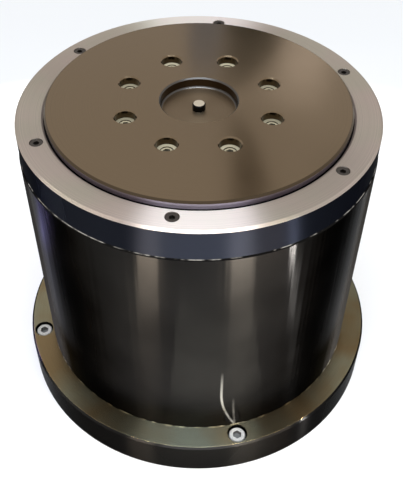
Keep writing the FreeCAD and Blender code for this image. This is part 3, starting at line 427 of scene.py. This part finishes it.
def gloss_black_tube(looks, tube_radius, low, high, streak_angle):
    """Gloss black anodised tube: nearly black, faint upright draw lines that pull reflections out along them,
    a gloss that dies away at grazing angles, a coat painted lighter towards its foot as a sheen, bright bare
    metal in dashes along its top and foot edges, and two streaks of reflected light painted as bare metal
    above one base screw."""
    material, tree = new_material("gloss_black_anodised_tube")
    point, flat, height = place(tree)

    bare = edge_dashes(tree, point, height, low, high)
    across = add(tree, "ShaderNodeSeparateXYZ", links={"Vector": point}, out="X")
    along = add(tree, "ShaderNodeSeparateXYZ", links={"Vector": point}, out="Y")
    turn = add(tree, "ShaderNodeMath", {"operation": "ARCTAN2"}, links={0: along, 1: across})
    off = add(tree, "ShaderNodeMath", {"operation": "SUBTRACT"}, {1: streak_angle}, {0: turn})
    arc = add(tree, "ShaderNodeMath", {"operation": "MULTIPLY"}, {1: tube_radius}, {0: off})
    # Painted reflection: streaks of light from a base screw, drawn as bare metal
    for swing, reach, strength in STREAK_SHAPES:
        streak_share = painted_reflection_streak(tree, arc, height, low, swing, reach, strength)
        bare = add(tree, "ShaderNodeMath", {"operation": "MAXIMUM"}, links={0: bare, 1: streak_share})

    # Painted sheen: the coat is lighter towards its foot, in uneven streaks
    painted_sheen = add(tree, "ShaderNodeMapRange", {"interpolation_type": "SMOOTHSTEP"},
               {"From Min": low + SHEEN_LOW, "From Max": low + SHEEN_HIGH, "To Min": PAINTED_SHEEN_GAIN, "To Max": 1.0},
               {"Value": height})
    streak = mottle(tree, point, TUBE_SMUDGE, 5.0, 1 - SHEEN_STREAK, 1 + SHEEN_STREAK)
    sheen_tone = add(tree, "ShaderNodeMath", {"operation": "MULTIPLY"}, links={0: painted_sheen, 1: streak})
    sheened_coat = add(tree, "ShaderNodeVectorMath", {"operation": "SCALE"}, {0: tuple(looks.black_coat)},
                {"Scale": sheen_tone})
    # Bright bare metal on the edge dashes and on the painted reflection streaks
    tint = add(tree, "ShaderNodeMix", {"data_type": "RGBA"}, {"B": rgba(looks.bright_steel)},
               {"Factor": bare, "A": sheened_coat})

    rough = mottle(tree, point, TUBE_SMUDGE, 5.0, *TUBE_ROUGH)
    turned_away = add(tree, "ShaderNodeLayerWeight", values={"Blend": 0.5}, out="Facing")
    gloss = add(tree, "ShaderNodeMapRange", None,
                {"From Min": GLOSS_FULL, "From Max": GLOSS_GONE, "To Min": 1.0, "To Max": 0.0},
                {"Value": turned_away})
    drawn = add(tree, "ShaderNodeTexNoise", None, {"Scale": 1 / DRAW_LINE, "Detail": 1.0}, {"Vector": flat})
    bump = add(tree, "ShaderNodeBump", None, {"Strength": 1.0, "Distance": DRAW_DEPTH}, {"Height": drawn})
    tangent = add(tree, "ShaderNodeTangent", {"direction_type": "RADIAL", "axis": "Z"})
    surface(tree, {"Specular IOR Level": 0.0, "Anisotropic": 0.9, "Anisotropic Rotation": ACROSS_MARKS,
                   "Specular Tint": TUBE_DARKENING},
            {"Base Color": tint, "Metallic": gloss, "Roughness": rough, "Normal": bump, "Tangent": tangent})
    return material


# Finishes of screws and of the pieces inside

GRAIN_CONTRAST = 0.15
SOCKET_PLAY = 0.1 * MM
# Grime and painted shade darken screw sockets to this share of their metal
SOCKET_GRIME_AND_SHADE = 0.4

# The grain of plating is finer in truth, and is drawn coarser so that it shows
PLATING_GRAIN = 0.6 * MM


def plain_finish(name, rgb, metallic, roughness, grain):
    """A finish for small and inner pieces: one colour broken up by a grain, given in millimetres and drawn
    coarser than it is so that it shows."""
    material, tree = new_material(name)
    point = add(tree, "ShaderNodeTexCoord", out="Object")
    tone = mottle(tree, point, grain * MM, 3.0, 1 - GRAIN_CONTRAST, 1 + GRAIN_CONTRAST)
    tint = add(tree, "ShaderNodeVectorMath", {"operation": "SCALE"}, {0: rgb}, {"Scale": tone})
    surface(tree, {"Metallic": metallic, "Roughness": roughness}, {"Base Color": tint})
    return material


def socket_steel(name, metal, roughness, across, top):
    """Bright plated steel of a socket screw, with grime and painted shade darkening the socket under its top
    face.
    """
    material, tree = new_material(name)
    point, flat, height = place(tree)
    radius = add(tree, "ShaderNodeVectorMath", {"operation": "LENGTH"}, links={0: flat})
    tone = mottle(tree, point, PLATING_GRAIN, 3.0, 1 - GRAIN_CONTRAST, 1 + GRAIN_CONTRAST)
    tint = add(tree, "ShaderNodeVectorMath", {"operation": "SCALE"}, {0: metal}, {"Scale": tone})
    corner = (across + SOCKET_PLAY) / math.sqrt(3)
    inner = add(tree, "ShaderNodeMath", {"operation": "LESS_THAN"}, {1: corner}, {0: radius})
    under = add(tree, "ShaderNodeMath", {"operation": "LESS_THAN"}, {1: top - END_SKIN}, {0: height})
    socket = add(tree, "ShaderNodeMath", {"operation": "MULTIPLY"}, links={0: inner, 1: under})
    # Grime and painted shade in the socket
    grimed_and_shaded = add(tree, "ShaderNodeMix", {"data_type": "RGBA"}, {"B": rgba(metal, SOCKET_GRIME_AND_SHADE)},
                {"Factor": socket, "A": tint})
    surface(tree, {"Metallic": 1.0, "Roughness": roughness}, {"Base Color": grimed_and_shaded})
    return material


# For each finish inside: colour, metallic, roughness, grain in millimetres and the nodes that have it
INSIDE_FINISHES = {
    # Nearly a mirror
    "ground_bearing_steel": ("#b9b9b7", 1.0, 0.2, 0.8, (
        "bearing_outer_race_lower", "bearing_outer_race_upper", "bearing_inner_race", "bearing_rollers")),
    # Dull black that hardly reflects
    "nitrile_rubber": ("#161616", 0.0, 0.6, 0.5, (
        "base_seal", "ring_seal", "wiper_seal", "cover_gasket", "connector_gaskets")),
    # Soft grey sheen
    "satin_cover_alloy": ("#a9a9aa", 1.0, 0.4, 0.5, ("bottom_cover", "encoder_bracket")),
    # Pale and bright
    "zinc_plated_screws": ("#b8b6ae", 1.0, 0.3, 0.5, (
        "cover_screws", "encoder_screws", "connector_screws", "board_pillars")),
    # Cream with a broad soft shine
    "moulded_cage_polymer": ("#d8cba0", 0.0, 0.5, 0.6, ("roller_cage",)),
    # Dark grey, dulled by the cut edges of the sheets
    "stacked_lamination_steel": ("#6b6b6d", 1.0, 0.45, 0.5, ("stator_core",)),
    # Warm orange brown with a clear shine
    "enamelled_copper": ("#b5652e", 0.8, 0.32, 0.6, ("stator_coils",)),
    # Even green with a soft shine
    "green_solder_mask": ("#1c5a34", 0.0, 0.4, 0.8, ("winding_board",)),
    # Mid grey sheen
    "turned_rotor_steel": ("#8f8f8e", 1.0, 0.35, 0.6, ("rotor_yoke", "rotor_hub")),
    # Bright with a warm cast
    "nickel_plated_magnet": ("#bdbab0", 1.0, 0.25, 0.6, ("rotor_magnets",)),
    # Bright, broken up by its fine ruling
    "ruled_scale_steel": ("#c3c3c2", 1.0, 0.25, 0.2, ("encoder_scale_ring",)),
    # Near black with a soft shine
    "moulded_sensor_case": ("#232326", 0.0, 0.5, 0.5, ("encoder_read_head",)),
}


# Meshes of the screws

PLUG_SIDES = 48
SIDES_PER_RIB = 4


def round_row(radius, height):
    """A ring of points on a circle, as a radius for each angle and a height."""
    return (lambda turn: radius), height


def hexagon_row(across, height):
    """A ring of points on a hexagon of one width across its flats."""
    return (lambda turn: across / 2 / math.cos(turn % (math.tau / 6) - math.pi / 6)), height


def knurled_row(radius, depth, count, height):
    """A ring of points on a circle that ribs are cut into."""
    return (lambda turn: radius - depth * (0.5 + 0.5 * math.cos(turn * count))), height


def spun_mesh(name, rows, sides):
    """Closes rings of points into one skin with flat ends."""
    mesh = bmesh.new()
    turns = [side * math.tau / sides for side in range(sides)]
    loops = []
    for radius_at, height in rows:
        points = [(radius_at(turn) * math.cos(turn), radius_at(turn) * math.sin(turn), height)
                  for turn in turns]
        loops.append([mesh.verts.new(point) for point in points])
    for low, high in zip(loops, loops[1:]):
        for side in range(sides):
            after = (side + 1) % sides
            mesh.faces.new((low[side], low[after], high[after], high[side]))
    mesh.faces.new(reversed(loops[0]))
    mesh.faces.new(loops[-1])
    data = bpy.data.meshes.new(name)
    mesh.to_mesh(data)
    mesh.free()
    made = bpy.data.objects.new(name, data)
    bpy.context.scene.collection.objects.link(made)
    return made


def cap_screw(name, sizes):
    """Socket cap screw with a knurled head, standing on its seat at z = 0."""
    head = sizes.screw_head / 2
    shank = sizes.screw_thread / 2
    rise = sizes.screw_thread
    edge = sizes.screw_break
    rows = [round_row(shank, sizes.screw_gap - sizes.screw_seat), round_row(shank, 0.0),
            round_row(head - edge, 0.0), knurled_row(head, sizes.knurl_depth, sizes.knurl_count, edge),
            knurled_row(head, sizes.knurl_depth, sizes.knurl_count, rise - edge),
            round_row(head - edge, rise), hexagon_row(sizes.screw_socket, rise),
            hexagon_row(sizes.screw_socket, rise / 2)]
    return spun_mesh(name, rows, sizes.knurl_count * SIDES_PER_RIB)


def set_screw(name, thread_radius, sizes):
    """Socket set screw whose face lies just under z = 0."""
    radius = thread_radius - sizes.plug_play
    edge = sizes.plug_break
    face = sizes.plug_sink
    foot = face - sizes.plug_length
    rows = [round_row(radius - edge, foot), round_row(radius, foot + edge), round_row(radius, face - edge),
            round_row(radius - edge, face), hexagon_row(sizes.plug_socket, face),
            hexagon_row(sizes.plug_socket, face - sizes.plug_depth)]
    return spun_mesh(name, rows, PLUG_SIDES)


def round_circle(pattern, first):
    """Steps round a mount's bolt circle: the number, the angle and the place in the plane of each hole."""
    reach = circle_radius(pattern)
    count = pattern["dims"]["count"]
    for step in range(count):
        turn = first + step * math.tau / count
        yield step, turn, reach * math.cos(turn), reach * math.sin(turn)


# Operators for the pieces

# How far down the bare metal reaches: past the ring's broken edges, and just under the flange's face
RING_SKIN = 1.05 * MM
FLANGE_SKIN = 0.05 * MM


class ROTARY_OT_table(bpy.types.Operator):
    """Finishes the turntable and its centre pin"""
    bl_idname = "rotary.table"
    bl_label = "Turntable"

    def execute(self, context):
        looks = context.scene.rotary_finishes
        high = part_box("turntable")[1]
        dress("turntable", turned_table_steel(looks, context.scene.rotary_sizes, high.z,
                                              circle_radius(mount("table_bolts")), high.x - RIM_BREAK))
        dress("centre_pin", ground_pin_steel(looks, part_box("centre_pin")[1].z))
        return {"FINISHED"}


class ROTARY_OT_thread_plugs(bpy.types.Operator):
    """Makes the socket set screws that close the table's threads"""
    bl_idname = "rotary.thread_plugs"
    bl_label = "Thread plugs"

    def execute(self, context):
        sizes = context.scene.rotary_sizes
        steel = socket_steel("bright_set_screw_steel", tuple(context.scene.rotary_finishes.plug_steel),
                             roughness=0.95, across=sizes.plug_socket, top=sizes.plug_sink)
        bolts = mount("table_bolts")
        for step, turn, x, y in round_circle(bolts, sizes.first_hole):
            plug = set_screw(f"thread_plug_{step + 1}", bolts["dims"]["hole_r_mm"] * MM, sizes)
            plug.location = (x, y, bolts["pos_m"][2])
            # Each was tightened to a different turn
            plug.rotation_euler.z = turn + step
            plug.data.materials.append(steel)
            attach(plug, TABLE)
        return {"FINISHED"}


class ROTARY_OT_ring(bpy.types.Operator):
    """Finishes the top ring and its screws"""
    bl_idname = "rotary.ring"
    bl_label = "Top ring"

    def execute(self, context):
        looks = context.scene.rotary_finishes
        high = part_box("top_ring")[1]
        alloy = two_tone_turned("turned_ring_alloy", looks.ring_metal, looks.ring_stain, looks.band_coat,
                                bare_above=high.z - RING_SKIN, bare_rough=0.36, coat_rough=0.46,
                                pitch=context.scene.rotary_sizes.turning_pitch)
        dress("top_ring", alloy)
        # Grey brown where the black is worn, with a soft shine
        oxide = plain_finish("worn_black_oxide_steel", tuple(looks.ring_screw), metallic=1.0, roughness=0.4,
                             grain=0.5)
        dress("ring_screws", oxide)
        return {"FINISHED"}


class ROTARY_OT_housing(bpy.types.Operator):
    """Finishes the tube and the base flange"""
    bl_idname = "rotary.housing"
    bl_label = "Housing"

    def execute(self, context):
        looks = context.scene.rotary_finishes
        sizes = context.scene.rotary_sizes
        low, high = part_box("housing_tube")
        dress("housing_tube", gloss_black_tube(looks, high.x, low.z, high.z, sizes.painted_streaks))
        alloy = two_tone_turned("turned_flange_alloy", looks.flange_metal, looks.flange_stain,
                                looks.black_coat, bare_above=low.z - FLANGE_SKIN, bare_rough=0.2,
                                coat_rough=0.24, pitch=sizes.turning_pitch)
        dress("base_flange", alloy)
        return {"FINISHED"}


class ROTARY_OT_base_screws(bpy.types.Operator):
    """Makes the socket cap screws in the base flange"""
    bl_idname = "rotary.base_screws"
    bl_label = "Base screws"

    def execute(self, context):
        sizes = context.scene.rotary_sizes
        steel = socket_steel("bright_plated_steel", tuple(context.scene.rotary_finishes.bright_steel),
                             roughness=0.7, across=sizes.screw_socket, top=sizes.screw_thread)
        for step, _, x, y in round_circle(mount("base_bolts"), sizes.first_screw):
            screw = cap_screw(f"base_screw_{step + 1}", sizes)
            screw.location = (x, y, sizes.screw_seat)
            screw.data.materials.append(steel)
            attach(screw, HOUSING)
        return {"FINISHED"}


class ROTARY_OT_inside(bpy.types.Operator):
    """Finishes the motor, the bearing, the encoder, the seals and the cover"""
    bl_idname = "rotary.inside"
    bl_label = "Motor and bearing"

    def execute(self, context):
        for name, (code, metallic, roughness, grain, nodes) in INSIDE_FINISHES.items():
            material = plain_finish(name, linear(code), metallic, roughness, grain)
            for node in nodes:
                dress(node, material)
        dark = tuple(context.scene.rotary_finishes.dark_steel_and_pin_shade)
        # Near black with a dull shine
        oxide = plain_finish("black_oxide_bolts", dark, metallic=0.6, roughness=0.45, grain=0.5)
        for node in ("tube_screws", "hub_screws", "scale_screws"):
            dress(node, oxide)
        return {"FINISHED"}


class ROTARY_OT_connectors(bpy.types.Operator):
    """Finishes the power and feedback connectors"""
    bl_idname = "rotary.connectors"
    bl_label = "Connectors"

    def execute(self, context):
        bright = tuple(context.scene.rotary_finishes.bright_steel)
        # Pale and bright
        shell = plain_finish("nickel_plated_shell", bright, metallic=1.0, roughness=0.28, grain=0.8)
        # Near black with a soft shine
        insert = plain_finish("moulded_insulator", linear("#19191a"), metallic=0.0, roughness=0.5, grain=0.5)
        # Warm yellow and bright
        gold = plain_finish("gold_plated_contact", linear("#d9b25c"), metallic=1.0, roughness=0.25, grain=0.5)
        for side in ("power", "feedback"):
            dress(side + "_connector", shell)
            dress(side + "_insert", insert)
            dress(side + "_pins", gold)
        return {"FINISHED"}


# Stage

# How far out the floor goes, how much of it shows white, how far behind the axis the cards hang, how dull
# they are, and the point that the lamps face
FLOOR_REACH = 3.0
FLOOR_WHITE = 0.5
CARD_REACH = 1.2
CARD_ROUGH = 0.9
LAMP_AIM = Vector((0, 0, 0.12))

# An area lamp's radiance is its watts over this many times its area
WATTS_PER_RADIANCE = 4

# For each lamp: turn from the camera's side in degrees, distance from the axis, height, size, radiance and
# tint. The tube mirrors the floor, so the strips that it shows stand low and close. All but the overhead and
# the high one stand below the table's face.
LAMPS = {
    "overhead_box": (0, 0.21, 1.1, (0.7, 0.3), 10.2, "#dbecff"),
    "front_wide_box": (0, 1.3, 0.075, (1.3, 0.15), 26.0, "#fffdf2"),
    "front_band_box": (2, 0.2, 0.11, (0.13, 0.05), 5.6, "#eef2ff"),
    "front_low_box": (9, 0.128, 0.02, (0.09, 0.05), 1.0, "#fdfff4"),
    "front_left_strip": (-24.6, 0.24, 0.025, (0.046, 0.045), 43.0, "#fff0dd"),
    "front_right_strip": (22, 0.25, 0.025, (0.055, 0.05), 48.0, "#fff4e4"),
    "right_strip": (37.5, 0.3, 0.03, (0.08, 0.05), 19.0, "#ffeedd"),
    "right_edge_strip": (49.3, 0.22, 0.025, (0.004, 0.04), 310.0, "#ffffff"),
    "left_low_box": (-50, 0.15, 0.03, (0.12, 0.06), 0.33, "#fffdf2"),
    "left_fill_box": (-68, 1.3, 0.075, (1.2, 0.15), 5.0, "#fffdf2"),
    "left_rim_strip": (-92, 0.175, 0.03, (0.06, 0.06), 9.0, "#908ad4"),
    "back_left_strip": (-166, 0.3, 0.03, (0.09, 0.05), 45.0, "#fff4e4"),
    "back_right_strip": (164, 0.3, 0.03, (0.07, 0.05), 30.0, "#fff4e4"),
    "high_right_box": (168.8, 1.22, 0.86, (0.1, 0.2), 0.55, "#eef2ff"),
}

# For each card: its corners across and up in metres, as seen from the camera, and its colour
CARDS = {
    "cool_card": (((-0.024, 0.6), (0.049, 0.6), (0.051, 0.9), (-0.024, 0.9)), "#858fa6"),
    "black_card": (((0.052, 0.6), (0.215, 0.6), (0.185, 0.82), (0.14, 0.88), (0.093, 0.94), (0.06, 0.9)),
                   "#3a3a32"),
    "brown_card": (((0.085, 1.04), (0.113, 1.03), (0.16, 1.16), (0.19, 1.25), (0.2, 1.5), (0.095, 1.5)),
                   "#665f54"),
    "side_card": (((0.38, 1.2), (0.66, 1.2), (0.66, 1.7), (0.38, 1.7)), "#4a4842"),
}


def stage_sheet(name, corners, material):
    """A flat piece of the stage."""
    data = bpy.data.meshes.new(name)
    data.from_pydata(corners, [], [range(len(corners))])
    data.materials.append(material)
    sheet = bpy.data.objects.new(name, data)
    bpy.context.scene.collection.objects.link(sheet)


def make_floor(stage):
    """Wide pale floor that the base stands on. To the eye and in reflections it is half white and half its
    own colour, so that it keeps the object's shadow."""
    material, tree = new_material("pale_studio_floor")
    pale = add(tree, "ShaderNodeBsdfDiffuse", values={"Color": rgba(stage.floor_colour)})
    white = add(tree, "ShaderNodeEmission", values={"Strength": 1.0})
    seen, mirrored, through = (add(tree, "ShaderNodeLightPath", out=name)
                               for name in ("Is Camera Ray", "Is Glossy Ray", "Is Transmission Ray"))
    either = add(tree, "ShaderNodeMath", {"operation": "MAXIMUM"}, links={0: seen, 1: mirrored})
    shown = add(tree, "ShaderNodeMath", {"operation": "MAXIMUM"}, links={0: either, 1: through})
    share = add(tree, "ShaderNodeMath", {"operation": "MULTIPLY"}, {1: FLOOR_WHITE}, {0: shown})
    both = add(tree, "ShaderNodeMixShader", links={0: share, 1: pale, 2: white})
    add(tree, "ShaderNodeOutputMaterial", links={"Surface": both})
    corners = [(-FLOOR_REACH, -FLOOR_REACH, 0), (FLOOR_REACH, -FLOOR_REACH, 0),
               (FLOOR_REACH, FLOOR_REACH, 0), (-FLOOR_REACH, FLOOR_REACH, 0)]
    stage_sheet("studio_floor", corners, material)


def make_world(scene, stage):
    """Even grey surround that fills the shadows."""
    world = bpy.data.worlds.new("studio_surround")
    world.use_nodes = True
    world.node_tree.nodes.clear()
    tree = world.node_tree
    back = add(tree, "ShaderNodeBackground", values={"Color": rgba((1, 1, 1)), "Strength": stage.surround})
    add(tree, "ShaderNodeOutputWorld", links={"Surface": back})
    scene.world = world


def make_lamps(stage):
    """Soft boxes and strips that the camera doesn't see, turned to the upper part of the tube."""
    for name, (turn, reach, height, size, radiance, tint) in LAMPS.items():
        data = bpy.data.lights.new(name, "AREA")
        data.shape = "RECTANGLE"
        data.size, data.size_y = size
        data.energy = radiance * size[0] * size[1] * WATTS_PER_RADIANCE
        data.color = linear(tint)
        lamp = bpy.data.objects.new(name, data)
        azimuth = stage.camera_azimuth + math.radians(turn)
        lamp.location = (math.sin(azimuth) * reach, -math.cos(azimuth) * reach, height)
        lamp.rotation_euler = (LAMP_AIM - lamp.location).to_track_quat("-Z", "Y").to_euler()
        lamp.visible_camera = False
        bpy.context.scene.collection.objects.link(lamp)


def make_cards(stage):
    """Dull paper cards high up behind the object: a cool grey and a black one for the far side of the table,
    a brown one for its near side and a dark one for the right of the flange."""
    turn = Matrix.Rotation(stage.camera_azimuth, 4, "Z")
    for name, (outline, tint) in CARDS.items():
        material, tree = new_material(name + "_paper")
        surface(tree, {"Base Color": rgba(linear(tint)), "Roughness": CARD_ROUGH})
        stage_sheet(name, [turn @ Vector((across, CARD_REACH, up)) for across, up in outline], material)


def make_camera(scene, stage):
    """Camera at the photograph's place, looking down on the table."""
    data = bpy.data.cameras.new("photo_camera")
    data.lens = stage.camera_lens
    data.shift_x = stage.camera_shift
    camera = bpy.data.objects.new("photo_camera", data)
    turn = stage.camera_azimuth
    camera.location = (math.sin(turn) * stage.camera_reach, -math.cos(turn) * stage.camera_reach,
                       stage.camera_height)
    level = Euler((math.radians(90) - stage.camera_pitch, 0, turn)).to_matrix()
    camera.rotation_euler = (level @ Matrix.Rotation(stage.camera_roll, 3, "Z")).to_euler()
    scene.collection.objects.link(camera)
    scene.camera = camera


class ROTARY_OT_stage(bpy.types.Operator):
    """Makes the floor, the studio light and the camera"""
    bl_idname = "rotary.stage"
    bl_label = "Stage"

    def execute(self, context):
        stage = context.scene.rotary_stage
        make_floor(stage)
        make_world(context.scene, stage)
        make_lamps(stage)
        make_cards(stage)
        make_camera(context.scene, stage)
        context.scene.view_settings.view_transform = "Standard"
        return {"FINISHED"}


# Panel and registration

class ROTARY_PT_panel(bpy.types.Panel):
    """Lists the pieces, their settings and the stage"""
    bl_idname = "ROTARY_PT_panel"
    bl_label = "Rotary table"
    bl_space_type = "VIEW_3D"
    bl_region_type = "UI"
    bl_category = "Rotary table"

    def draw(self, context):
        for group in (context.scene.rotary_finishes, context.scene.rotary_sizes, context.scene.rotary_stage):
            box = self.layout.box()
            for name in group.__annotations__:
                box.prop(group, name)
        for operator in OPERATORS:
            self.layout.operator(operator.bl_idname)


GROUPS = {"rotary_finishes": RotaryFinishes, "rotary_sizes": RotarySizes, "rotary_stage": RotaryStage}
OPERATORS = (ROTARY_OT_table, ROTARY_OT_thread_plugs, ROTARY_OT_ring, ROTARY_OT_housing,
             ROTARY_OT_base_screws, ROTARY_OT_inside, ROTARY_OT_connectors, ROTARY_OT_stage)


def register():
    for name, group in GROUPS.items():
        bpy.utils.register_class(group)
        setattr(bpy.types.Scene, name, PointerProperty(type=group))
    for operator in OPERATORS:
        bpy.utils.register_class(operator)
    bpy.utils.register_class(ROTARY_PT_panel)


def unregister():
    bpy.utils.unregister_class(ROTARY_PT_panel)
    for operator in reversed(OPERATORS):
        bpy.utils.unregister_class(operator)
    for name, group in GROUPS.items():
        delattr(bpy.types.Scene, name)
        bpy.utils.unregister_class(group)


def main():
    register()
    bpy.ops.rotary.table()
    bpy.ops.rotary.thread_plugs()
    bpy.ops.rotary.ring()
    bpy.ops.rotary.housing()
    bpy.ops.rotary.base_screws()
    bpy.ops.rotary.inside()
    bpy.ops.rotary.connectors()
    bpy.ops.rotary.stage()


if __name__ == "__main__":
    main()
